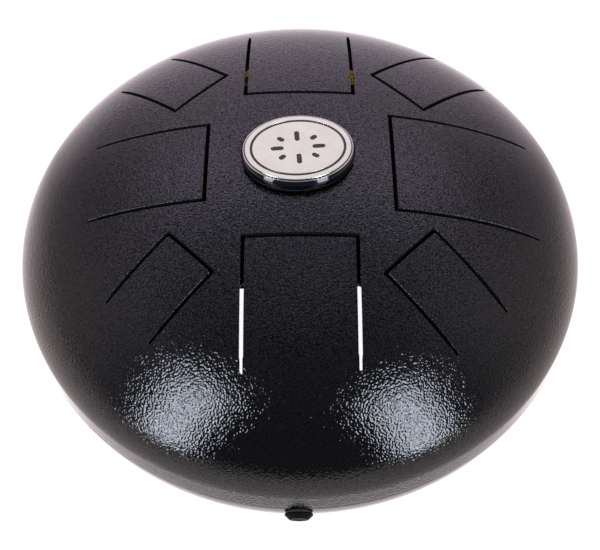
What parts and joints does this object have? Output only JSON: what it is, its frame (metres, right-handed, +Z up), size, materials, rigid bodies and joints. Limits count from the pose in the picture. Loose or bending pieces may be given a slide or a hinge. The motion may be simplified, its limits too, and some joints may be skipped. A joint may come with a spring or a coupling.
{
  "type": "steel tongue drum",
  "caption": "Hollow domed steel drum with sprung sounding tongues cut into its upper dome, an oval badge at the crown, rubber bumpers and a round sound port underneath.",
  "frame": {"origin": "on the drum's axis, in the plane of the sound port's ground rim, which it stands on", "axes": "+Z up through the crown; -Y towards the player and the front tongue; +X to the player's right"},
  "size_m": [0.305, 0.3083, 0.172],
  "materials": {
    "coated_steel": "black textured powder coat, semi-gloss",
    "badge_black": "high gloss",
    "badge_metal": "polished, very light warm silver",
    "badge_inlay": "satin dark grey",
    "foam": "matt foam",
    "rubber": "satin moulded rubber",
    "adhesive": "clear-white foam tape",
    "label_gold": "plain gold foil label"
  },
  "bodies": {
    "drum_body": {"upper_shell": "coated_steel", "lower_shell": "coated_steel", "seam_weld": "coated_steel", "badge_pad": "foam", "badge_base": "badge_black", "badge_plate": "badge_metal", "badge_inlay": "badge_inlay", "bumper_front": "rubber", "bumper_rear_right": "rubber", "bumper_rear_left": "rubber", "bumper_pads": "adhesive", "inside_label": "label_gold"},
    "tongue_front": {"tongue_front": "coated_steel"},
    "tongue_front_right": {"tongue_front_right": "coated_steel"},
    "tongue_right": {"tongue_right": "coated_steel"},
    "tongue_rear_right": {"tongue_rear_right": "coated_steel"},
    "tongue_rear": {"tongue_rear": "coated_steel"},
    "tongue_rear_left": {"tongue_rear_left": "coated_steel"},
    "tongue_left": {"tongue_left": "coated_steel"},
    "tongue_front_left": {"tongue_front_left": "coated_steel"}
  },
  "joints": [
    {"name": "front_swing", "type": "hinge", "parent": "drum_body", "child": "tongue_front", "pos_m": [0, -0.1085, 0.14245], "axis": [-1, 0, 0], "range_deg": [-0.5, 0.5], "stiffness_Nm_per_rad": 530},
    {"name": "front_right_swing", "type": "hinge", "parent": "drum_body", "child": "tongue_front_right", "pos_m": [0.08524, -0.08524, 0.13641], "axis": [-0.7071, -0.7071, 0], "range_deg": [-0.5, 0.5], "stiffness_Nm_per_rad": 450},
    {"name": "right_swing", "type": "hinge", "parent": "drum_body", "child": "tongue_right", "pos_m": [0.12035, 0, 0.13572], "axis": [0, -1, 0], "range_deg": [-0.5, 0.5], "stiffness_Nm_per_rad": 500},
    {"name": "rear_right_swing", "type": "hinge", "parent": "drum_body", "child": "tongue_rear_right", "pos_m": [0.0921, 0.0921, 0.12964], "axis": [0.7071, -0.7071, 0], "range_deg": [-0.5, 0.5], "stiffness_Nm_per_rad": 390},
    {"name": "rear_swing", "type": "hinge", "parent": "drum_body", "child": "tongue_rear", "pos_m": [0, 0.11055, 0.14138], "axis": [1, 0, 0], "range_deg": [-0.5, 0.5], "stiffness_Nm_per_rad": 540},
    {"name": "rear_left_swing", "type": "hinge", "parent": "drum_body", "child": "tongue_rear_left", "pos_m": [-0.08616, 0.08616, 0.13557], "axis": [0.7071, 0.7071, 0], "range_deg": [-0.5, 0.5], "stiffness_Nm_per_rad": 460},
    {"name": "left_swing", "type": "hinge", "parent": "drum_body", "child": "tongue_left", "pos_m": [-0.10595, 0, 0.1438], "axis": [0, 1, 0], "range_deg": [-0.5, 0.5], "stiffness_Nm_per_rad": 500},
    {"name": "front_left_swing", "type": "hinge", "parent": "drum_body", "child": "tongue_front_left", "pos_m": [-0.08128, -0.08128, 0.13971], "axis": [-0.7071, 0.7071, 0], "range_deg": [-0.5, 0.5], "stiffness_Nm_per_rad": 460}
  ]
}
